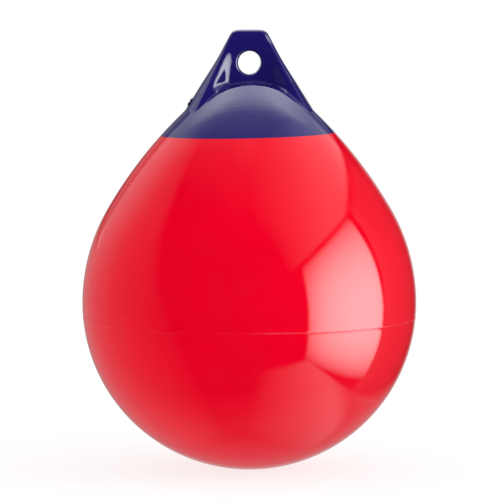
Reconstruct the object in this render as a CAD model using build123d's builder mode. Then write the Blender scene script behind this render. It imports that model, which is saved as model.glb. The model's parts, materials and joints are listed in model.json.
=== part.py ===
from build123d import *
import os
from math import acos, cos, degrees, radians, sin, sqrt, tan

# Mooring buoy: an inflated ball, closed at the top by a moulded cap with a rope eye, and its valve.
# Millimetres, +Z up, X across the rope eye's lug, Y along its bore.
# The origin is on the axis at the water's surface, with the empty buoy afloat and its eye up.

os.makedirs("parts", exist_ok=True)

# Ball: a true sphere below its equator, then a shoulder and a flatter flank, all arcs; the flank runs on
# under the lug, and ends there at this half width
draught = 75.5
ball_radius = 260.0
shoulder_radius = 291.5
shoulder_lean = 30.2
flank_radius = 692.0
flank_end_half_width = 40.0
body_wall = 3.4
mould_line_drop = 22.6
mould_line_half_width = 1.6
mould_line_height = 0.6

# Cap: laps over a collar on the ball, its edge slightly out of level; its hollow is flat at the top
cap_wall = 6.0
cap_edge_half_width = 135.3
cap_edge_tilt = 1.2
cap_hollow_rise = 49.5
collar_height = 22.0
weld_gap = 0.1

# Lug: a revolved outline cut to a wedge that thickens towards its foot; rises are above the cap's edge
lug_rise = 162.0
lug_top_half_width = 26.6
lug_knee_rise = 118.7
lug_knee_half_width = 48.7
lug_knee_radius = 120.0
lug_corner_radius = 8.5
lug_foot_half_width = 100.0
lug_sink = 14.0
lug_edge_radius = 2.5
web_thickness = 23.0
wedge_rise = 140.0
wedge_lean = 20.0

# Pockets: one each side of the web, their walls splayed out to the lug's edges; their round bed runs
# level from the web to a lip on the flank
pocket_top_half_width = 30.0
pocket_side_lean = 5.0
pocket_flare = 45.0
pocket_crease_radius = 14.0
pocket_reach = 60.0
pocket_bed_rise = 77.7
pocket_bed_radius = 104.5
pocket_floor_radius = 11.0

# Rope eye
eye_diameter = 36.0
eye_rise = 110.7
eye_lip = 3.5

# Inflation valve: a bush, a washer and a slotted screw, square to the lug's outer wall on the -X side
valve_rise = 13.5
seat_diameter = 18.0
seat_flange = 3.2
seat_shank_diameter = 11.6
seat_shank_length = 13.0
seat_clearance = 0.15
washer_thickness = 1.0
screw_head_diameter = 13.0
screw_head_height = 2.2
screw_shank_diameter = 6.0
screw_shank_length = 10.0
screw_clearance = 0.2
head_sink = 1.4
head_chamfer = 0.5
slot_width = 1.8
slot_depth = 1.1


def direction(angle):
    """Unit vector at this angle above the horizontal, in the section's plane."""
    return Vector(cos(radians(angle)), sin(radians(angle)))


# Centres of the outline's arcs, each tangent to the last
centre_height = ball_radius - draught
shoulder_centre = Vector(ball_radius - shoulder_radius, centre_height)
flank_centre = shoulder_centre + direction(shoulder_lean) * (shoulder_radius - flank_radius)
flank_lean = degrees(acos((flank_end_half_width - flank_centre.X) / flank_radius))


def flank_height(half_width):
    """Height of the flank's skin at this distance from the axis."""
    return flank_centre.Y + sqrt(flank_radius**2 - (half_width - flank_centre.X) ** 2)


cap_edge_height = flank_height(cap_edge_half_width)

cap_edge = Plane(
    origin=(0, 0, cap_edge_height),
    z_dir=(-sin(radians(cap_edge_tilt)), 0, cos(radians(cap_edge_tilt))),
)
collar_inset = cap_wall + weld_gap


def ball_section(inset):
    """Half of the ball's section, drawn this far inside the outer skin."""
    flank_end = flank_centre + direction(flank_lean) * (flank_radius - inset)
    with BuildSketch(Plane.XZ) as section:
        with BuildLine():
            CenterArc((0, centre_height), ball_radius - inset, -90, 90)
            CenterArc(shoulder_centre, shoulder_radius - inset, 0, shoulder_lean)
            CenterArc(flank_centre, flank_radius - inset, shoulder_lean, flank_lean - shoulder_lean)
            Polyline(flank_end, (0, flank_end.Y), (0, inset - draught))
        make_face()
    return section.sketch


# Air space: stepped in above the cap's edge, to leave the collar its wall
with BuildPart() as air_space:
    add(ball_section(body_wall))
    revolve(axis=Axis.Z)
    split(bisect_by=cap_edge.offset(-body_wall), keep=Keep.BOTTOM)
    add(ball_section(collar_inset + body_wall))
    revolve(axis=Axis.Z)

# Collar: the lap that the cap is welded to
with BuildPart() as collar:
    add(ball_section(collar_inset))
    revolve(axis=Axis.Z)
    split(bisect_by=cap_edge.offset(collar_height), keep=Keep.BOTTOM)

# Body: the hollow ball with the ridge that its two-part mould leaves, and the collar on top
with BuildPart() as body:
    add(ball_section(0))
    with BuildSketch(Plane.XZ):
        with Locations((sqrt(ball_radius**2 - mould_line_drop**2), centre_height - mould_line_drop)):
            Polygon(
                (mould_line_height, 0),
                (-mould_line_height, mould_line_half_width),
                (-mould_line_height, -mould_line_half_width),
                align=None,
            )
    revolve(axis=Axis.Z)
    split(bisect_by=cap_edge, keep=Keep.BOTTOM)
    add(collar.part)
    add(air_space.part, mode=Mode.SUBTRACT)

# Outline of the lug: its foot is on the flank's skin, and it runs on below that by the sink
lug_foot = flank_height(lug_foot_half_width)
lug_knee = cap_edge_height + lug_knee_rise
lug_slope = (lug_foot_half_width - lug_knee_half_width) / (lug_knee - lug_foot)
lug_base = lug_foot - lug_sink
lug_base_half_width = lug_foot_half_width + lug_sink * lug_slope
lug_top = cap_edge_height + lug_rise
wedge_start = cap_edge_height + wedge_rise
web_half = web_thickness / 2
wedge_base_half = web_half + (wedge_start - lug_base) * tan(radians(wedge_lean))

# Pocket in front of the web, down to its bed and out past the lip; the one behind is its mirror image
pocket_run = pocket_reach - web_half
bed_centre = cap_edge_height + pocket_bed_rise - pocket_bed_radius
pocket_base = bed_centre + pocket_run * tan(radians(pocket_flare))
pocket_side_slope = tan(radians(pocket_side_lean))
pocket_top_half = pocket_top_half_width - (lug_top - wedge_start) * pocket_side_slope
pocket_base_half = pocket_top_half_width + (wedge_start - pocket_base) * pocket_side_slope
with BuildPart() as pocket:
    with BuildSketch(Plane.XZ.offset(web_half)):
        with BuildLine():
            Polyline((0, lug_top), (pocket_top_half, lug_top), (pocket_base_half, pocket_base))
            Line((pocket_base_half, pocket_base), (0, pocket_base))
            mirror(about=Plane.YZ)
        make_face()
    extrude(amount=pocket_run, taper=-pocket_flare)
    web_edges = pocket.edges().sort_by(Axis.Y)[-4:]
    fillet(web_edges.filter_by(Axis.X, reverse=True), pocket_crease_radius)
    with BuildSketch(Plane.XZ):
        with Locations((0, bed_centre)):
            Circle(pocket_bed_radius)
    extrude(amount=pocket_reach, mode=Mode.SUBTRACT)
    fillet(pocket.edges(Select.NEW).sort_by(Axis.Y)[1:], pocket_floor_radius)

# Lug: the outline revolved, and cut to the wedge
with BuildPart() as lug:
    with BuildSketch(Plane.XZ):
        with BuildLine():
            FilletPolyline(
                (lug_base_half_width, lug_base),
                (lug_knee_half_width, lug_knee),
                (lug_top_half_width, lug_top),
                (0, lug_top),
                radius=[lug_knee_radius, lug_corner_radius],
            )
            Polyline((0, lug_top), (0, lug_base), (lug_base_half_width, lug_base))
        make_face()
    revolve(axis=Axis.Z)
    with BuildSketch(Plane.YZ):
        with BuildLine():
            Polyline((0, lug_top), (web_half, lug_top), (web_half, wedge_start), (wedge_base_half, lug_base))
            Line((wedge_base_half, lug_base), (0, lug_base))
            mirror(about=Plane.YZ)
        make_face()
    extrude(amount=lug_base_half_width, both=True, mode=Mode.INTERSECT)

# Valve face: on the lug's straight outer wall, this far above its foot
valve_face = Plane(
    origin=(valve_rise * lug_slope - lug_foot_half_width, 0, lug_foot + valve_rise),
    x_dir=(0, 1, 0),
    z_dir=(-1, 0, lug_slope),
)
seat_floor = valve_face.offset(-seat_flange)
head_floor = valve_face.offset(-head_sink)

# Hollow under the cap
with BuildPart() as cap_hollow:
    add(ball_section(cap_wall))
    revolve(axis=Axis.Z)
    split(bisect_by=Plane.XY.offset(cap_edge_height + cap_hollow_rise), keep=Keep.BOTTOM)

# Rope-eye cap: the lug on the flank, pocketed front and back, cut off at the cap's edge and hollow underneath
with BuildPart() as rope_eye:
    add(ball_section(0))
    revolve(axis=Axis.Z)
    add(lug.part)
    add(pocket.part, mode=Mode.SUBTRACT)
    mirror(pocket.part, about=Plane.XZ, mode=Mode.SUBTRACT)
    slab_edges = rope_eye.edges().filter_by_position(Axis.Z, wedge_start, lug_top, inclusive=(False, True))
    for face_y in (-web_half, web_half):
        fillet(slab_edges.filter_by_position(Axis.Y, face_y, face_y), lug_edge_radius)
    split(bisect_by=cap_edge, keep=Keep.TOP)
    add(cap_hollow.part, mode=Mode.SUBTRACT)
    with BuildSketch(Plane.XZ):
        with Locations((0, cap_edge_height + eye_rise)):
            Circle(eye_diameter / 2)
    extrude(amount=web_thickness, both=True, mode=Mode.SUBTRACT)
    chamfer(rope_eye.edges(Select.LAST).filter_by(GeomType.CIRCLE), eye_lip)
    with BuildSketch(seat_floor):
        Circle(seat_diameter / 2 + seat_clearance)
    extrude(amount=seat_diameter, mode=Mode.SUBTRACT)
    with BuildSketch(seat_floor):
        Circle(seat_shank_diameter / 2 + seat_clearance)
    extrude(amount=-seat_shank_length, mode=Mode.SUBTRACT)

# Valve seat: a flanged bush in the cap's counterbore, recessed for the screw's head
with BuildPart() as valve_seat:
    with BuildSketch(seat_floor):
        Circle(seat_diameter / 2)
    extrude(amount=seat_flange)
    with BuildSketch(seat_floor):
        Circle(seat_shank_diameter / 2)
    extrude(amount=-seat_shank_length)
    with BuildSketch(head_floor):
        Circle(screw_head_diameter / 2 + screw_clearance)
    extrude(amount=head_sink, mode=Mode.SUBTRACT)
    with BuildSketch(head_floor):
        Circle(screw_shank_diameter / 2 + screw_clearance)
    extrude(amount=-seat_flange - seat_shank_length, mode=Mode.SUBTRACT)

# Sealing washer under the screw's head
with BuildPart() as valve_washer:
    with BuildSketch(head_floor):
        Circle(screw_head_diameter / 2)
        Circle(screw_shank_diameter / 2 + screw_clearance, mode=Mode.SUBTRACT)
    extrude(amount=washer_thickness)

# Slotted valve screw, its head on the washer
screw_base = head_floor.offset(washer_thickness)
with BuildPart() as valve_screw:
    with BuildSketch(screw_base):
        Circle(screw_head_diameter / 2)
    extrude(amount=screw_head_height)
    chamfer(valve_screw.edges().sort_by(Axis(valve_face.origin, valve_face.z_dir))[-1], head_chamfer)
    with BuildSketch(screw_base.offset(screw_head_height)):
        Rectangle(screw_head_diameter, slot_width)
    extrude(amount=-slot_depth, mode=Mode.SUBTRACT)
    with BuildSketch(screw_base):
        Circle(screw_shank_diameter / 2)
    extrude(amount=-screw_shank_length)

pieces = {
    "body": body,
    "rope_eye": rope_eye,
    "valve_seat": valve_seat,
    "valve_washer": valve_washer,
    "valve_screw": valve_screw,
}
for name, piece in pieces.items():
    piece.part.label = name
    export_step(piece.part, f"parts/{name}.step")
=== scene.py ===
import json
from math import acos, asin, cos, radians, sin, tau

import bmesh
import bpy
from bpy.props import FloatProperty, FloatVectorProperty, IntProperty, PointerProperty
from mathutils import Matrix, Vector


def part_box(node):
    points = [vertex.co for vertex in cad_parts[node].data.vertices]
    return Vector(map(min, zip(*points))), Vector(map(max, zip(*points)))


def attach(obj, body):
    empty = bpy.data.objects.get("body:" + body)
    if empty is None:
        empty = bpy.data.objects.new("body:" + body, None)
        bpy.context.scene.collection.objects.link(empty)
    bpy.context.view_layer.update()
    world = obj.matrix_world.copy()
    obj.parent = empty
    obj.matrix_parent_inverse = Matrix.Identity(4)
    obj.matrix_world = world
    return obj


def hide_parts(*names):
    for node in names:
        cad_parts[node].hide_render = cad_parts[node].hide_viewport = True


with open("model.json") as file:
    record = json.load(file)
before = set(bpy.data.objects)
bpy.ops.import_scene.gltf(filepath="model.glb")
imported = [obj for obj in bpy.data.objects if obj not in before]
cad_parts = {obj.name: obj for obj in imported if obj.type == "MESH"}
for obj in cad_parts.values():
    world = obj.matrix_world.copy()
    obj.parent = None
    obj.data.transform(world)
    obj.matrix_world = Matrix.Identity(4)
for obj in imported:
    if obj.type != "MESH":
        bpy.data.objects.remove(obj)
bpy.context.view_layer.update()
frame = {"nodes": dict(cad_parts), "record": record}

bl_info = {
    "name": "Mooring Buoy",
    "version": (1, 0, 0),
    "blender": (4, 5, 0),
    "location": "3D View > Sidebar > Buoy",
    "description": "Dresses the packed mooring buoy: its ball, rope-eye cap, valve and studio",
    "category": "Object",
}

MM = 0.001
FLOOR_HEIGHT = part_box("body")[0].z

# Distances in metres at which points merge, tiny edges and cuts close up, and a point counts as on a level
MERGE_DISTANCE = 1e-6
TINY_DISTANCE = 1e-7
LEVEL_TOLERANCE = 1e-5

# Edges that turn by more than this stay sharp
SHARP_ANGLE = radians(40)

# Mesh steps along the ball's outline, from its lowest point up, and along the lap under the cap
BOTTOM_STEPS = 64
MOULD_LINE_STEPS = 4
SHOULDER_STEPS = 24
FLANK_STEPS = 20
LAP_STEPS = 16

# Turn of the lap's arc, from the flank's end down
LAP_SWEEP = radians(-9)

# Mould line's bead: each row's place over the half width and share of the height, and a row's reach
BEAD_ROWS = ((0.0, 1.0), (0.5, 0.55), (-0.5, 0.55))
BEAD_ROW_REACH = 0.2

# Rounding of the cap: how a face that looks down is told, the skirt's flare, and the smoothing
FACING_DOWN = -0.99
SKIRT_FLARE = 1.04
ROUND_PASSES = 4
SMOOTH_FACTOR = 0.5

# Moulded plastic: height of its orange peel, and what a rub and the mould line's painted highlight add to
# its colour and roughness
PEEL_HEIGHT = 0.02 * MM
RUB_AND_GLINT_PALER = 0.06
RUB_ROUGHER = 0.25

# Painted highlight on the mould line: its core and end over the half width, its breaks, and where it sets
# in along X
LINE_CORE = 0.4
LINE_END = 1.3
LINE_MOST = 0.7
LINE_BREAK_SCALE = 22.0
LINE_BREAK_LEAST = 0.25
LINE_SIDE_START = -30 * MM
LINE_SIDE_END = 20 * MM
LINE_SIDE_LEAST = 0.08

# Floor: grey of its paper, and the strength and share of the white that the camera sees
PAPER_GREY = 0.9
FLOOR_GLOW = 1.06
FLOOR_GLOW_SHARE = 0.75

# Dark rear corners of the studio: where they begin and end, their top, and how dark they are
CORNER_START = (1.5, 1.9)
CORNER_END = (7.0, 9.0)
CORNER_TOP = (0.95, 1.3)
CORNER_SHADE = 0.75

# Strength of the studio window's light
WINDOW_LEVEL = 9.6


def size_mm(name, description, default):
    """A length in metres, given in millimetres."""
    return FloatProperty(
        name=name, description=description, default=default * MM, unit="LENGTH", precision=5
    )


def size_m(name, description, default):
    """A length in metres."""
    return FloatProperty(name=name, description=description, default=default, unit="LENGTH")


def angle_deg(name, description, default):
    """An angle in radians, given in degrees."""
    return FloatProperty(name=name, description=description, default=radians(default), unit="ROTATION")


def tint(name, description, default):
    """A linear colour."""
    return FloatVectorProperty(
        name=name, description=description, default=default, subtype="COLOR", size=3, min=0.0, max=1.0
    )


def count(name, description, default, least):
    """A whole number."""
    return IntProperty(name=name, description=description, default=default, min=least)


class BallSettings(bpy.types.PropertyGroup):
    """Outline and skin of the inflated ball."""

    radius: size_mm("Ball radius", "Radius below the equator", 260.0)
    centre_height: size_mm("Centre height", "Height of the equator over the waterline", 184.5)
    shoulder_radius: size_mm("Shoulder radius", "Radius of the outline just above the equator", 291.5)
    shoulder_lean: angle_deg("Shoulder lean", "Where the shoulder gives way to the flank", 30.2)
    flank_radius: size_mm("Flank radius", "Radius of the long flank above the shoulder", 692.0)
    flank_end: size_mm("Flank end", "Half width at which the flank ends, under the cap", 102.0)
    wall: size_mm("Wall", "Thickness of the inflated skin", 3.4)
    seam_drop: size_mm("Mould line drop", "How far the mould line lies below the equator", 22.6)
    seam_half_width: size_mm("Mould line half width", "Half the width of the mould line's bead", 1.3)
    seam_height: size_mm("Mould line height", "How far the bead stands out", 0.4)
    segments: count("Segments", "Steps round the ball", 256, 32)
    colour: tint("Skin colour", "Red of the ball", (0.86, 0.0, 0.018))


class CapSettings(bpy.types.PropertyGroup):
    """Edge and finish of the rope-eye cap."""

    edge_height: size_mm("Edge height", "Height of the cap's edge on the axis", 447.534)
    edge_tilt: angle_deg("Edge tilt", "How far the edge is out of level", 1.2)
    wall: size_mm("Wall", "Thickness of the cap at its edge", 6.0)
    weld_gap: size_mm("Weld gap", "Gap between the cap and the collar over their lap", 0.1)
    collar_height: size_mm("Collar height", "Lap of the ball under the cap", 22.0)
    skirt: size_mm("Skirt", "Spare length below the edge, which is trimmed after the rounding", 6.0)
    grain: size_mm("Mesh size", "Size of the mesh that rounds the moulding", 1.75)
    soft_height: size_mm("Soft height", "Above this the lug's edges are rounded further", 527.0)
    soft_band: size_mm("Soft band", "Height over which the rounding of the lug's edges sets in", 18.0)
    crisp_radius: size_mm("Crisp radius", "Round the eye this far, its rim stays crisp", 26.0)
    soft_passes: count("Soft passes", "Passes that round the lug's edges", 55, 0)
    colour: tint("Cap colour", "Navy of the cap", (0.012, 0.008, 0.13))


class ValveSettings(bpy.types.PropertyGroup):
    """Finish of the inflation valve."""

    nylon: tint("Nylon colour", "Colour of bush and screw", (0.012, 0.009, 0.075))
    rubber: tint("Rubber colour", "Colour of the washer", (0.012, 0.012, 0.013))


class StageSettings(bpy.types.PropertyGroup):
    """Floor, camera and light."""

    floor_radius: size_m("Floor radius", "Radius of the round floor", 6.0)
    azimuth: angle_deg("Camera azimuth", "Camera's turn about the buoy", -5.0)
    elevation: angle_deg("Camera elevation", "Camera's height as an angle", 4.6)
    distance: size_m("Camera distance", "From the aim to the camera", 6.0)
    field: size_m("Field", "Width of the picture at the aim", 0.7785)
    aim_right: size_mm("Aim right", "Aim to the camera's right of the axis", 1.1)
    aim_height: size_mm("Aim height", "Aim over the waterline", 266.5)
    ambient: FloatProperty(name="Ambient", description="Soft light from all sides", default=0.95, min=0.0)
    key_power: FloatProperty(
        name="Key power", description="Soft lamp on the right", default=20.0, min=0.0, unit="POWER"
    )
    key_width: size_m("Key width", "Width of the soft lamp", 2.0)
    key_place: FloatVectorProperty(
        name="Key place", description="Place of the soft lamp", default=(2.2, -1.2, 1.6),
        subtype="TRANSLATION",
    )
    key_aim_height: size_m("Key aim height", "Height on the axis that the soft lamp faces", 0.2)


class BuoySettings(bpy.types.PropertyGroup):
    """All the values of the buoy."""

    ball: PointerProperty(type=BallSettings)
    cap: PointerProperty(type=CapSettings)
    valve: PointerProperty(type=ValveSettings)
    stage: PointerProperty(type=StageSettings)


def settings():
    """The values that the scene holds."""
    return bpy.context.scene.buoy


# Outline of the ball

def arc_centres():
    """Centres of the outline's arcs in the XZ plane, and the lean at which the flank ends."""
    ball = settings().ball
    centre = Vector((0, 0, ball.centre_height))
    shoulder = centre + Vector((ball.radius - ball.shoulder_radius, 0, 0))
    outward = Vector((cos(ball.shoulder_lean), 0, sin(ball.shoulder_lean)))
    flank = shoulder + outward * (ball.shoulder_radius - ball.flank_radius)
    end_lean = acos((ball.flank_end - flank.x) / ball.flank_radius)
    return centre, shoulder, flank, end_lean


def sweep(bm, geom, centre, angle, steps):
    """Carries the outline's last point round a centre in the XZ plane; a positive angle goes out and up."""
    made = bmesh.ops.spin(bm, geom=geom, cent=centre, axis=(0, -1, 0), angle=angle, steps=steps)
    return [item for item in made["geom_last"] if isinstance(item, bmesh.types.BMVert)]


def turn_full(bm, segments):
    """Spins the whole outline once round the axis, and closes its seam and its pole."""
    bmesh.ops.spin(
        bm, geom=bm.verts[:] + bm.edges[:], cent=(0, 0, 0), axis=(0, 0, 1), angle=tau, steps=segments,
        use_merge=True,
    )
    bmesh.ops.remove_doubles(bm, verts=bm.verts, dist=MERGE_DISTANCE)
    bmesh.ops.dissolve_degenerate(bm, edges=bm.edges, dist=TINY_DISTANCE)
    bmesh.ops.recalc_face_normals(bm, faces=bm.faces)


def cap_edge_plane(offset=0.0):
    """A point and a normal of the cap's edge, moved up by an offset."""
    cap = settings().cap
    normal = Vector((-sin(cap.edge_tilt), 0, cos(cap.edge_tilt)))
    return Vector((0, 0, cap.edge_height)) + normal * offset, normal


def cut(bm, point, normal, keep_above):
    """Cuts everything on one side of a plane away."""
    bmesh.ops.bisect_plane(
        bm, geom=bm.verts[:] + bm.edges[:] + bm.faces[:], dist=TINY_DISTANCE, plane_co=point,
        plane_no=normal, clear_inner=keep_above, clear_outer=not keep_above,
    )


def thicken(bm, thickness):
    """Gives an open skin its wall, on the inside."""
    bmesh.ops.solidify(bm, geom=bm.faces[:], thickness=thickness)


def raise_bead(bm, level, radius):
    """Bevels the edges on the mould line's level into a band, and raises it to a bead."""
    ball = settings().ball
    seam = [edge for edge in bm.edges if all(abs(v.co.z - level) < LEVEL_TOLERANCE for v in edge.verts)]
    bmesh.ops.bevel(
        bm, geom=seam, offset=ball.seam_half_width, offset_type="OFFSET", segments=4, profile=0.5,
        affect="EDGES", material=-1,
    )
    reach = BEAD_ROW_REACH * ball.seam_half_width
    for offset, share in BEAD_ROWS:
        row_level = level + offset * ball.seam_half_width
        row = [v for v in bm.verts if abs(v.co.z - row_level) < reach]
        grow = 1 + share * ball.seam_height / radius
        bmesh.ops.scale(bm, vec=(grow, grow, 1), verts=row)


def make_piece(name, bm, material, slot, *nodes):
    """Turns a bmesh into a smooth piece that stands for CAD nodes."""
    mesh = bpy.data.meshes.new(name)
    bm.to_mesh(mesh)
    bm.free()
    piece = bpy.data.objects.new(name, mesh)
    bpy.context.scene.collection.objects.link(piece)
    mesh.materials.append(material)
    mesh.shade_smooth()
    mesh.set_sharp_from_angle(angle=SHARP_ANGLE)
    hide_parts(*nodes)
    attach(piece, "root")
    return piece


# Shader nodes

def new_group(name, inputs, outputs):
    """An empty shader node group; inputs are (name, socket type, default)."""
    group = bpy.data.node_groups.new(name, "ShaderNodeTree")
    for label, kind, default in inputs:
        socket = group.interface.new_socket(label, in_out="INPUT", socket_type=kind)
        if default is not None:
            socket.default_value = default
    for label, kind in outputs:
        group.interface.new_socket(label, in_out="OUTPUT", socket_type=kind)
    return group, group.nodes.new("NodeGroupInput"), group.nodes.new("NodeGroupOutput")


def node(tree, kind, values=None, **options):
    """A node with its options, and its sockets set or linked by name or number."""
    made = tree.nodes.new(kind)
    for option, value in options.items():
        setattr(made, option, value)
    for socket, value in (values or {}).items():
        if isinstance(value, bpy.types.NodeSocket):
            tree.links.new(value, made.inputs[socket])
        else:
            made.inputs[socket].default_value = value
    return made


def math(tree, operation, *values, clamp=False):
    """A Math node's output."""
    made = node(tree, "ShaderNodeMath", dict(enumerate(values)), operation=operation, use_clamp=clamp)
    return made.outputs[0]


def product(tree, first, *others):
    """Values multiplied together."""
    for value in others:
        first = math(tree, "MULTIPLY", first, value)
    return first


def ramp(tree, value, from_min, from_max, to_min=0.0, to_max=1.0, smooth=True):
    """A value mapped from one range to another."""
    made = node(
        tree, "ShaderNodeMapRange", {0: value, 1: from_min, 2: from_max, 3: to_min, 4: to_max},
        interpolation_type="SMOOTHSTEP" if smooth else "LINEAR",
    )
    return made.outputs[0]


# Shader node groups

def moulded_skin_group():
    """Moulded soft plastic: a faint orange peel, slow drifts of tone, and cloudy gloss."""
    group, given, result = new_group(
        "Moulded Skin",
        [("Vector", "NodeSocketVector", None), ("Peel Scale", "NodeSocketFloat", 400.0),
         ("Drift Scale", "NodeSocketFloat", 12.0)],
        [("Height", "NodeSocketFloat"), ("Tone", "NodeSocketFloat"), ("Haze", "NodeSocketFloat")],
    )
    vector = given.outputs["Vector"]
    peel = node(group, "ShaderNodeTexNoise", {
        "Vector": vector, "Scale": given.outputs["Peel Scale"], "Detail": 2.0, "Roughness": 0.45})
    drift = node(group, "ShaderNodeTexNoise", {
        "Vector": vector, "Scale": given.outputs["Drift Scale"], "Detail": 3.0, "Roughness": 0.5})
    haze = node(group, "ShaderNodeTexNoise", {
        "Vector": vector, "Scale": math(group, "MULTIPLY", given.outputs["Drift Scale"], 2.7),
        "Detail": 4.0, "Roughness": 0.6})
    group.links.new(peel.outputs[0], result.inputs["Height"])
    group.links.new(ramp(group, drift.outputs[0], 0.3, 0.7), result.inputs["Tone"])
    group.links.new(ramp(group, haze.outputs[0], 0.35, 0.7), result.inputs["Haze"])
    return group


def handling_marks_group():
    """Fine rubs and short scratches from handling, as one mask."""
    group, given, result = new_group(
        "Handling Marks",
        [("Vector", "NodeSocketVector", None), ("Scale", "NodeSocketFloat", 60.0),
         ("Amount", "NodeSocketFloat", 0.5)],
        [("Mask", "NodeSocketFloat")],
    )
    vector = given.outputs["Vector"]
    stretched = node(group, "ShaderNodeMapping", {"Vector": vector, "Scale": (1.0, 1.0, 7.0)})
    streak = node(group, "ShaderNodeTexNoise", {
        "Vector": stretched.outputs[0], "Scale": given.outputs["Scale"], "Detail": 5.0, "Roughness": 0.7,
        "Distortion": 0.4})
    patch = node(group, "ShaderNodeTexNoise", {"Vector": vector, "Scale": 9.0, "Detail": 2.0})
    lines = ramp(group, streak.outputs[0], 0.62, 0.74)
    patches = ramp(group, patch.outputs[0], 0.5, 0.68)
    marks = product(group, lines, patches)
    mask = math(group, "MULTIPLY", marks, given.outputs["Amount"], clamp=True)
    group.links.new(mask, result.inputs["Mask"])
    return group


def softbox_group():
    """A feathered rectangle of light in a direction, for the world."""
    group, given, result = new_group(
        "Softbox",
        [("Direction", "NodeSocketVector", None),
         ("Turn", "NodeSocketVector", (0.0, 0.0, 0.0)),
         ("Bow", "NodeSocketFloat", 0.0),
         ("Low", "NodeSocketVector", (-1.0, -1.0, 0.0)),
         ("High", "NodeSocketVector", (1.0, 1.0, 0.0)),
         ("Soft Low", "NodeSocketVector", (0.05, 0.05, 0.0)),
         ("Soft High", "NodeSocketVector", (0.05, 0.05, 0.0))],
        [("Mask", "NodeSocketFloat"), ("Across", "NodeSocketFloat"), ("Up", "NodeSocketFloat")],
    )
    facing = node(group, "ShaderNodeVectorRotate", {
        "Vector": given.outputs["Direction"], "Rotation": given.outputs["Turn"]}, rotation_type="EULER_XYZ")
    parts = node(group, "ShaderNodeSeparateXYZ", {0: facing.outputs[0]})
    least_ahead = 0.001
    ahead = math(group, "MAXIMUM", parts.outputs[0], least_ahead)
    up = math(group, "DIVIDE", parts.outputs[2], ahead)
    curve = product(group, up, up, given.outputs["Bow"])
    across = math(group, "SUBTRACT", math(group, "DIVIDE", parts.outputs[1], ahead), curve)
    bounds = {
        label: node(group, "ShaderNodeSeparateXYZ", {0: given.outputs[label]})
        for label in ("Low", "High", "Soft Low", "Soft High")
    }
    mask = math(group, "GREATER_THAN", parts.outputs[0], least_ahead)
    for axis, place in enumerate((across, up)):
        low, high, soft_low, soft_high = (bound.outputs[axis] for bound in bounds.values())
        rise_start = math(group, "SUBTRACT", low, soft_low)
        rise_end = math(group, "ADD", low, soft_low)
        fall_start = math(group, "SUBTRACT", high, soft_high)
        fall_end = math(group, "ADD", high, soft_high)
        rise = ramp(group, place, rise_start, rise_end)
        fall = ramp(group, place, fall_start, fall_end, 1.0, 0.0)
        mask = product(group, mask, rise, fall)
    group.links.new(mask, result.inputs["Mask"])
    group.links.new(across, result.inputs["Across"])
    group.links.new(up, result.inputs["Up"])
    return group


def use_group(tree, name, values):
    """A placed copy of a shader node group, which is built on its first use."""
    makers = {
        "Moulded Skin": moulded_skin_group,
        "Handling Marks": handling_marks_group,
        "Softbox": softbox_group,
    }
    group = bpy.data.node_groups.get(name) or makers[name]()
    return node(tree, "ShaderNodeGroup", values, node_tree=group)


# Materials

def line_glint_mask(tree, place):
    """A mask of painted highlight on the trimmed mould line, broken up, and strongest on the side of +X."""
    ball = settings().ball
    level = ball.centre_height - ball.seam_drop
    parts = node(tree, "ShaderNodeSeparateXYZ", {0: place})
    distance = math(tree, "ABSOLUTE", math(tree, "SUBTRACT", parts.outputs[2], level))
    core, end = LINE_CORE * ball.seam_half_width, LINE_END * ball.seam_half_width
    near = ramp(tree, distance, core, end, LINE_MOST, 0.0)
    along = node(tree, "ShaderNodeTexNoise", {"Vector": place, "Scale": LINE_BREAK_SCALE, "Detail": 3.0})
    broken = ramp(tree, along.outputs[0], 0.35, 0.65, LINE_BREAK_LEAST, 1.0)
    side = ramp(tree, parts.outputs[0], LINE_SIDE_START, LINE_SIDE_END, LINE_SIDE_LEAST, 1.0)
    return product(tree, near, broken, side)


def moulded_plastic(name, colour, gloss, peel_scale, marks, drift, with_line_glint=False):
    """Soft plastic out of a mould; gloss is the roughness where clean and where hazy. On request, a painted
    highlight along the mould line joins the rubs.
    """
    material = bpy.data.materials.new(name)
    material.use_nodes = True
    tree = material.node_tree
    shader = tree.nodes["Principled BSDF"]
    place = node(tree, "ShaderNodeTexCoord").outputs["Object"]
    skin = use_group(tree, "Moulded Skin", {"Vector": place, "Peel Scale": peel_scale})
    worn = use_group(tree, "Handling Marks", {"Vector": place, "Amount": marks})
    deep = [channel * (1 - drift) for channel in colour]
    pale = [min(1.0, channel * (1 + drift)) for channel in colour]
    # Paler colour of the handling rubs and of the mould line's painted highlight
    rub_and_glint_colour = [min(1.0, channel + RUB_AND_GLINT_PALER) for channel in colour]
    tone = node(tree, "ShaderNodeMix", {
        0: skin.outputs["Tone"], 6: (*deep, 1.0), 7: (*pale, 1.0)}, data_type="RGBA")
    mask = worn.outputs["Mask"]
    # The mould line's painted highlight is added to the rubs' mask, so it turns paler and rougher too
    if with_line_glint:
        mask = math(tree, "MAXIMUM", mask, line_glint_mask(tree, place))
    rubbed_and_glinting = node(tree, "ShaderNodeMix", {
        0: mask, 6: tone.outputs[2], 7: (*rub_and_glint_colour, 1.0)}, data_type="RGBA")
    tree.links.new(rubbed_and_glinting.outputs[2], shader.inputs["Base Color"])
    haze = ramp(tree, skin.outputs["Haze"], 0.0, 1.0, gloss[0], gloss[1], smooth=False)
    rough = math(tree, "ADD", haze, math(tree, "MULTIPLY", mask, RUB_ROUGHER), clamp=True)
    tree.links.new(rough, shader.inputs["Roughness"])
    bump = node(tree, "ShaderNodeBump", {
        "Strength": 1.0, "Distance": PEEL_HEIGHT, "Height": skin.outputs["Height"]})
    tree.links.new(bump.outputs[0], shader.inputs["Normal"])
    return material


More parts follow.
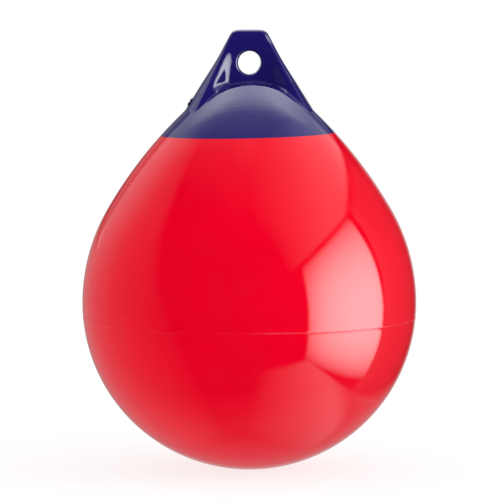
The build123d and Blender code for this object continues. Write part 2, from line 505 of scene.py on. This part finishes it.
def floor_paper():
    """White floor that keeps a soft shadow."""
    material = bpy.data.materials.new("floor_paper")
    material.use_nodes = True
    tree = material.node_tree
    tree.nodes.clear()
    paper = node(tree, "ShaderNodeBsdfDiffuse", {"Color": (PAPER_GREY, PAPER_GREY, PAPER_GREY, 1.0)})
    glow = node(tree, "ShaderNodeEmission", {"Color": (1.0, 1.0, 1.0, 1.0), "Strength": FLOOR_GLOW})
    path = node(tree, "ShaderNodeLightPath")
    share = math(tree, "MULTIPLY", path.outputs["Is Camera Ray"], FLOOR_GLOW_SHARE)
    both = node(tree, "ShaderNodeMixShader", {0: share, 1: paper.outputs[0], 2: glow.outputs[0]})
    node(tree, "ShaderNodeOutputMaterial", {"Surface": both.outputs[0]})
    return material


# Studio panels that the gloss mirrors

# Turns, in degrees, that bring each side of the room to the front
CEILING = (0, 90, 0)
TABLE = (0, -90, 0)
LEFT_WALL = (0, 0, 180)
RIGHT_WALL = (0, 0, 0)
REAR_WALL = (0, 0, -90)
WINDOW = (-6, 0, 5)

# Each panel's edges and their softness, across and up over the distance ahead; level is an even light
PANELS = {
    "window": {
        "turn": WINDOW, "low": (-0.97, -0.77), "high": (0.34, 0.72),
        "soft_low": (0.04, 0.05), "soft_high": (0.03, 0.05),
    },
    "ceiling": {
        "turn": CEILING, "low": (-9.0, -1.3), "high": (9.0, 9.0),
        "soft_low": (1.0, 0.05), "soft_high": (1.0, 1.0),
    },
    "rear": {
        "turn": CEILING, "low": (0.05, -1.3), "high": (1.05, 1.6),
        "soft_low": (0.10, 0.05), "soft_high": (0.35, 0.5), "bow": 0.9,
    },
    "spill": {
        "turn": CEILING, "low": (-0.4, -1.3), "high": (1.05, 1.6),
        "soft_low": (0.4, 0.05), "soft_high": (0.35, 0.5), "bow": 0.9,
    },
    "left": {
        "turn": LEFT_WALL, "low": (-9.0, -9.0), "high": (0.7, 9.0),
        "soft_low": (1.0, 1.0), "soft_high": (0.3, 1.0),
    },
    "table": {
        "turn": TABLE, "low": (-1.1, -0.6), "high": (9.0, 1.12),
        "soft_low": (0.12, 0.3), "soft_high": (1.0, 0.04),
    },
    "under": {
        "turn": TABLE, "low": (0.1, -9.0), "high": (9.0, 1.2),
        "soft_low": (0.5, 1.0), "soft_high": (1.0, 0.4), "level": 0.36,
    },
    "right": {
        "turn": RIGHT_WALL, "low": (0.30, -1.0), "high": (9.0, 0.72),
        "soft_low": (0.02, 0.3), "soft_high": (2.0, 0.06),
    },
    "backdrop": {
        "turn": REAR_WALL, "low": (-0.3, -0.6), "high": (0.2, 0.2),
        "soft_low": (0.15, 0.2), "soft_high": (0.1, 0.15), "level": 0.5,
    },
}


def hang_panel(tree, facing, place):
    """A panel of the studio, seen in a direction."""
    return use_group(tree, "Softbox", {
        "Direction": facing,
        "Turn": [radians(angle) for angle in place["turn"]],
        "Bow": place.get("bow", 0.0),
        "Low": (*place["low"], 0),
        "High": (*place["high"], 0),
        "Soft Low": (*place["soft_low"], 0),
        "Soft High": (*place["soft_high"], 0),
    })


def slope(tree, *terms, start, most, least=0.0):
    """A level that changes evenly over a panel by its (place, rate) terms, between its least and most."""
    level = start
    for place, rate in terms:
        level = math(tree, "MULTIPLY_ADD", place, rate, level)
    return math(tree, "MINIMUM", math(tree, "MAXIMUM", level, least), most)


def swell(tree, place, middle, rate):
    """A level that falls off to both sides of its middle."""
    offset = math(tree, "SUBTRACT", place, middle)
    fall = math(tree, "MULTIPLY_ADD", math(tree, "MULTIPLY", offset, offset), -rate, 1.0)
    return math(tree, "MAXIMUM", fall, 0.0)


def spot(tree, panel, most, rate):
    """A glow round a panel's middle."""
    squares = [product(tree, panel.outputs[way], panel.outputs[way]) for way in ("Across", "Up")]
    distance = math(tree, "SQRT", math(tree, "ADD", *squares))
    return slope(tree, (distance, -rate), start=most, most=most)


def behind(tree, left):
    """How far back the left wall is seen."""
    return math(tree, "MULTIPLY", left.outputs["Across"], -1.0)


def dark_corner(tree, wall, depth, low, high):
    """The dark corner of the room behind the buoy, beside a wall, which sets in between two heights."""
    up = wall.outputs["Up"]
    deep = product(tree, ramp(tree, depth, *CORNER_START), ramp(tree, depth, *CORNER_END, 1.0, 0.0))
    tall = product(tree, ramp(tree, up, low, high), ramp(tree, up, *CORNER_TOP, 1.0, 0.0))
    return product(tree, deep, tall)


def window_light(tree, window):
    """The brightest panel, strongest near its middle."""
    across = swell(tree, window.outputs["Across"], middle=-0.23, rate=1.2)
    up = swell(tree, window.outputs["Up"], middle=0.0, rate=1.6)
    return product(tree, across, up, WINDOW_LEVEL)


def ceiling_light(tree, ceiling):
    """Brighter to the back and to the right, with a glow overhead."""
    across, up = ceiling.outputs["Across"], ceiling.outputs["Up"]
    even = slope(tree, (across, 0.55), (up, -0.75), start=0.34, most=1.05)
    return math(tree, "MAXIMUM", even, spot(tree, ceiling, most=0.75, rate=1.7))


def rear_light(tree, rear):
    """Bright in its middle, weaker to both sides."""
    aside = math(tree, "ABSOLUTE", rear.outputs["Up"])
    return ramp(tree, aside, 0.4, 1.0, to_min=3.8, to_max=0.9)


def spill_light(tree, spill):
    """A soft glow on the ceiling before the rear panel."""
    return slope(tree, (spill.outputs["Across"], 2.4), start=0.85, most=0.9, least=0.22)


def left_light(tree, left):
    """Brighter to the back and upwards there, with a slanted soft top edge, and dim far down."""
    back, up = behind(tree, left), left.outputs["Up"]
    even = slope(tree, (back, 0.3), start=0.26, most=0.43, least=0.12)
    tall = product(tree, ramp(tree, back, 0.2, 0.9), ramp(tree, back, 1.6, 2.6, 1.0, 0.0))
    rise = product(tree, tall, math(tree, "MAXIMUM", up, 0.0))
    level = math(tree, "MULTIPLY_ADD", rise, 0.45, even)
    top_edge = math(tree, "MULTIPLY_ADD", back, -1.9, up)
    below_edge = ramp(tree, top_edge, 0.75, 1.25, 1.0, 0.0)
    far = ramp(tree, back, 1.2, 4.0, 1.0, 0.78)
    deep = ramp(tree, up, -6.0, -2.0, 0.5, 1.0)
    return product(tree, level, below_edge, far, deep)


def table_light(tree, table):
    """Brighter to the right up to a dim far edge, with a glow straight below."""
    across, up = table.outputs["Across"], table.outputs["Up"]
    even = slope(tree, (up, 1.5), (math(tree, "ABSOLUTE", across), -0.45), start=0.25, most=1.5)
    far_edge = math(tree, "MULTIPLY_ADD", across, 0.5, up)
    level = product(tree, even, ramp(tree, far_edge, 0.86, 1.26, 1.0, 0.3))
    return math(tree, "SMOOTH_MAX", level, spot(tree, table, most=0.22, rate=0.35), 0.1)


def right_light(tree, right):
    """Weaker to the back."""
    return math(tree, "DIVIDE", 0.12, math(tree, "MAXIMUM", right.outputs["Across"], 0.1))


PANEL_LIGHTS = {
    "window": window_light,
    "ceiling": ceiling_light,
    "rear": rear_light,
    "spill": spill_light,
    "left": left_light,
    "table": table_light,
    "right": right_light,
}


def mirrored_studio(tree, facing):
    """The light that the gloss mirrors: at each place the brightest panel, with dark rear corners."""
    panels = {name: hang_panel(tree, facing, place) for name, place in PANELS.items()}
    total = 0.0
    for name, panel in panels.items():
        level = PANEL_LIGHTS[name](tree, panel) if name in PANEL_LIGHTS else PANELS[name]["level"]
        total = math(tree, "MAXIMUM", total, product(tree, panel.outputs["Mask"], level))
    left, right = panels["left"], panels["right"]
    left_corner = dark_corner(tree, left, behind(tree, left), low=0.0, high=0.3)
    right_corner = dark_corner(tree, right, right.outputs["Across"], low=0.5, high=0.7)
    for dark in (left_corner, right_corner):
        total = product(tree, total, math(tree, "MULTIPLY_ADD", dark, -CORNER_SHADE, 1.0))
    return total


# Operators

class BUOY_OT_ball(bpy.types.Operator):
    """Spin the ball's skin with its mould line, and the collar that the cap is welded to"""

    bl_idname = "buoy.ball"
    bl_label = "Ball"

    def execute(self, context):
        ball = settings().ball
        # The red skin gets a painted highlight along its mould line, stronger towards +X
        red = moulded_plastic(
            "red_skin", ball.colour, gloss=(0.05, 0.09), peel_scale=240.0, marks=0.15, drift=0.02,
            with_line_glint=True,
        )
        self.spin_skin(ball, red)
        self.spin_collar(ball, settings().cap, red)
        return {"FINISHED"}

    def spin_skin(self, ball, red):
        """The ball up to the cap's edge."""
        ball_centre, shoulder, flank, end_lean = arc_centres()
        seam_lean = asin(ball.seam_drop / ball.radius)
        bm = bmesh.new()
        end = [bm.verts.new(ball_centre - Vector((0, 0, ball.radius)))]
        end = sweep(bm, end, ball_centre, tau / 4 - seam_lean, BOTTOM_STEPS)
        seam = end[0].co.copy()
        end = sweep(bm, end, ball_centre, seam_lean, MOULD_LINE_STEPS)
        end = sweep(bm, end, shoulder, ball.shoulder_lean, SHOULDER_STEPS)
        sweep(bm, end, flank, end_lean - ball.shoulder_lean, FLANK_STEPS)
        turn_full(bm, ball.segments)
        raise_bead(bm, seam.z, seam.x)
        cut(bm, *cap_edge_plane(), keep_above=False)
        thicken(bm, ball.wall)
        make_piece("ball_skin", bm, red, "red_skin", "body")

    def spin_collar(self, ball, cap, red):
        """The lap under the cap."""
        _, _, flank, end_lean = arc_centres()
        outward = Vector((cos(end_lean), 0, sin(end_lean)))
        bm = bmesh.new()
        end = [bm.verts.new(flank + outward * (ball.flank_radius - cap.wall - cap.weld_gap))]
        sweep(bm, end, flank, LAP_SWEEP, LAP_STEPS)
        turn_full(bm, ball.segments // 2)
        cut(bm, *cap_edge_plane(cap.collar_height), keep_above=False)
        cut(bm, *cap_edge_plane(-ball.wall), keep_above=True)
        thicken(bm, ball.wall)
        make_piece("collar_band", bm, red, "red_skin", "body")


class BUOY_OT_cap(bpy.types.Operator):
    """Round the moulded rope-eye cap, and trim its edge to the ball"""

    bl_idname = "buoy.cap"
    bl_label = "Rope-eye cap"

    def execute(self, context):
        cap = settings().cap
        navy = moulded_plastic(
            "navy_cap", cap.colour, gloss=(0.07, 0.13), peel_scale=300.0, marks=0.2, drift=0.06
        )
        point, normal = cap_edge_plane()
        bm = self.rounded(context, cap, self.skirted(cap, point, normal))
        self.soften_lug(bm, cap)
        cut(bm, point, normal, keep_above=True)
        bmesh.ops.bridge_loops(bm, edges=[edge for edge in bm.edges if edge.is_boundary])
        bmesh.ops.recalc_face_normals(bm, faces=bm.faces)
        make_piece("cap_moulding", bm, navy, "navy_cap", "rope_eye")
        return {"FINISHED"}

    def skirted(self, cap, point, normal):
        """A merged copy of the CAD node, with a spare skirt below its edge."""
        bm = bmesh.new()
        bm.from_mesh(frame["nodes"]["rope_eye"].data)
        bmesh.ops.remove_doubles(bm, verts=bm.verts, dist=MERGE_DISTANCE)
        rim = [
            face for face in bm.faces
            if face.normal.dot(normal) < FACING_DOWN
            and abs((face.calc_center_median() - point).dot(normal)) < LEVEL_TOLERANCE
        ]
        if not rim:
            raise RuntimeError("the cap's edge was not found on its CAD node")
        skirt = bmesh.ops.extrude_face_region(bm, geom=rim)
        bmesh.ops.delete(bm, geom=rim, context="FACES")
        low = [item for item in skirt["geom"] if isinstance(item, bmesh.types.BMVert)]
        bmesh.ops.translate(bm, verts=low, vec=-normal * cap.skirt)
        bmesh.ops.scale(bm, verts=low, vec=(SKIRT_FLARE, SKIRT_FLARE, 1))
        mesh = bpy.data.meshes.new("cap_blank")
        bm.to_mesh(mesh)
        bm.free()
        return mesh

    def rounded(self, context, cap, mesh):
        """The blank's mesh made again in even steps, with every edge slightly round."""
        blank = bpy.data.objects.new("cap_blank", mesh)
        context.scene.collection.objects.link(blank)
        remesh = blank.modifiers.new("Round", "REMESH")
        remesh.mode = "VOXEL"
        remesh.voxel_size = cap.grain
        soften = blank.modifiers.new("Soften", "SMOOTH")
        soften.factor = SMOOTH_FACTOR
        soften.iterations = ROUND_PASSES
        context.view_layer.update()
        even = bpy.data.meshes.new_from_object(blank.evaluated_get(context.evaluated_depsgraph_get()))
        bpy.data.objects.remove(blank)
        bm = bmesh.new()
        bm.from_mesh(even)
        bpy.data.meshes.remove(even)
        bpy.data.meshes.remove(mesh)
        return bm

    def soften_lug(self, bm, cap):
        """Rounds the lug's edges further, more and more with height, and leaves the eye's rim crisp."""
        mounts = {mount["name"]: mount for mount in frame["record"]["mounts"]}
        eye = Vector(mounts["rope_eye"]["pos_m"])
        lug = [
            v for v in bm.verts
            if v.co.z > cap.soft_height and (v.co - Vector((0, v.co.y, 0)) - eye).length > cap.crisp_radius
        ]
        for step in range(cap.soft_passes):
            level = cap.soft_height + cap.soft_band * step / cap.soft_passes
            lug = [v for v in lug if v.co.z > level]
            bmesh.ops.smooth_vert(
                bm, verts=lug, factor=SMOOTH_FACTOR, use_axis_x=True, use_axis_y=True, use_axis_z=True
            )


class BUOY_OT_valve(bpy.types.Operator):
    """Finish the inflation valve's bush, washer and screw"""

    bl_idname = "buoy.valve"
    bl_label = "Inflation valve"

    def execute(self, context):
        valve = settings().valve
        nylon = moulded_plastic(
            "valve_nylon", valve.nylon, gloss=(0.25, 0.4), peel_scale=900.0, marks=0.3, drift=0.05
        )
        rubber = moulded_plastic(
            "valve_rubber", valve.rubber, gloss=(0.55, 0.75), peel_scale=900.0, marks=0.2, drift=0.05
        )
        for name, material in (("valve_seat", nylon), ("valve_screw", nylon), ("valve_washer", rubber)):
            shown = frame["nodes"][name]
            shown.data.materials.clear()
            shown.data.materials.append(material)
        return {"FINISHED"}


class BUOY_OT_stage(bpy.types.Operator):
    """Set up the pale floor, the camera and the soft studio light"""

    bl_idname = "buoy.stage"
    bl_label = "Stage"

    def execute(self, context):
        scene, stage = context.scene, settings().stage
        scene.view_settings.view_transform = "Standard"
        self.lay_floor(scene, stage)
        self.aim_camera(scene, stage)
        self.hang_key_lamp(scene, stage)
        self.light_world(scene, stage)
        return {"FINISHED"}

    def lay_floor(self, scene, stage):
        """A round floor under the buoy, which its gloss and its underside don't see."""
        bm = bmesh.new()
        bmesh.ops.create_circle(bm, cap_ends=True, radius=stage.floor_radius, segments=64)
        bmesh.ops.translate(bm, verts=bm.verts, vec=(0, 0, FLOOR_HEIGHT))
        mesh = bpy.data.meshes.new("floor")
        bm.to_mesh(mesh)
        bm.free()
        floor = bpy.data.objects.new("floor", mesh)
        scene.collection.objects.link(floor)
        floor.visible_glossy = False
        floor.visible_diffuse = False
        mesh.materials.append(floor_paper())

    def aim_camera(self, scene, stage):
        """The camera at its angle and distance from the aim."""
        lens = bpy.data.cameras.new("camera")
        lens.lens = lens.sensor_width * stage.distance / stage.field
        camera = bpy.data.objects.new("camera", lens)
        scene.collection.objects.link(camera)
        right = Vector((cos(stage.azimuth), sin(stage.azimuth), 0))
        back = Vector((
            sin(stage.azimuth) * cos(stage.elevation), -cos(stage.azimuth) * cos(stage.elevation),
            sin(stage.elevation),
        ))
        aim = right * stage.aim_right + Vector((0, 0, stage.aim_height))
        camera.rotation_euler = back.to_track_quat("Z", "Y").to_euler()
        camera.location = aim + back * stage.distance
        scene.camera = camera

    def hang_key_lamp(self, scene, stage):
        """A wide soft lamp that the gloss doesn't mirror."""
        lamp = bpy.data.lights.new("key_lamp", "AREA")
        lamp.shape = "DISK"
        lamp.size = stage.key_width
        lamp.energy = stage.key_power
        holder = bpy.data.objects.new("key_lamp", lamp)
        place = Vector(stage.key_place)
        aim = Vector((0, 0, stage.key_aim_height))
        holder.location = place
        holder.rotation_euler = (place - aim).to_track_quat("Z", "Y").to_euler()
        holder.visible_glossy = False
        scene.collection.objects.link(holder)

    def light_world(self, scene, stage):
        """White for the camera, soft light all round, and the panels of a studio for gloss."""
        world = bpy.data.worlds.new("studio")
        scene.world = world
        world.use_nodes = True
        world.cycles.sampling_method = "NONE"
        tree = world.node_tree
        tree.nodes.clear()
        seen = node(tree, "ShaderNodeTexCoord").outputs["Generated"]
        facing = node(tree, "ShaderNodeVectorRotate", {
            "Vector": seen, "Angle": -stage.azimuth}, rotation_type="Z_AXIS").outputs[0]
        path = node(tree, "ShaderNodeLightPath")
        level = product(tree, path.outputs["Is Glossy Ray"], mirrored_studio(tree, facing))
        level = math(tree, "MULTIPLY_ADD", path.outputs["Is Diffuse Ray"], stage.ambient, level)
        level = math(tree, "ADD", level, path.outputs["Is Camera Ray"])
        level = math(tree, "ADD", level, path.outputs["Is Transmission Ray"])
        glow = node(tree, "ShaderNodeBackground", {"Color": (1.0, 1.0, 1.0, 1.0), "Strength": level})
        node(tree, "ShaderNodeOutputWorld", {"Surface": glow.outputs[0]})


class BUOY_PT_sidebar(bpy.types.Panel):
    """Lists the buoy's pieces and values"""

    bl_idname = "BUOY_PT_sidebar"
    bl_label = "Mooring Buoy"
    bl_space_type = "VIEW_3D"
    bl_region_type = "UI"
    bl_category = "Buoy"

    def draw(self, context):
        values = context.scene.buoy
        for operator, group in (
            ("buoy.ball", values.ball), ("buoy.cap", values.cap), ("buoy.valve", values.valve),
            ("buoy.stage", values.stage),
        ):
            box = self.layout.box()
            box.operator(operator)
            for name in group.__annotations__:
                box.prop(group, name)


CLASSES = (
    BallSettings, CapSettings, ValveSettings, StageSettings, BuoySettings,
    BUOY_OT_ball, BUOY_OT_cap, BUOY_OT_valve, BUOY_OT_stage, BUOY_PT_sidebar,
)


def register():
    for cls in CLASSES:
        bpy.utils.register_class(cls)
    bpy.types.Scene.buoy = PointerProperty(type=BuoySettings)


def unregister():
    del bpy.types.Scene.buoy
    for cls in reversed(CLASSES):
        bpy.utils.unregister_class(cls)


def main():
    register()
    bpy.ops.buoy.ball()
    bpy.ops.buoy.cap()
    bpy.ops.buoy.valve()
    bpy.ops.buoy.stage()


if __name__ == "__main__":
    main()
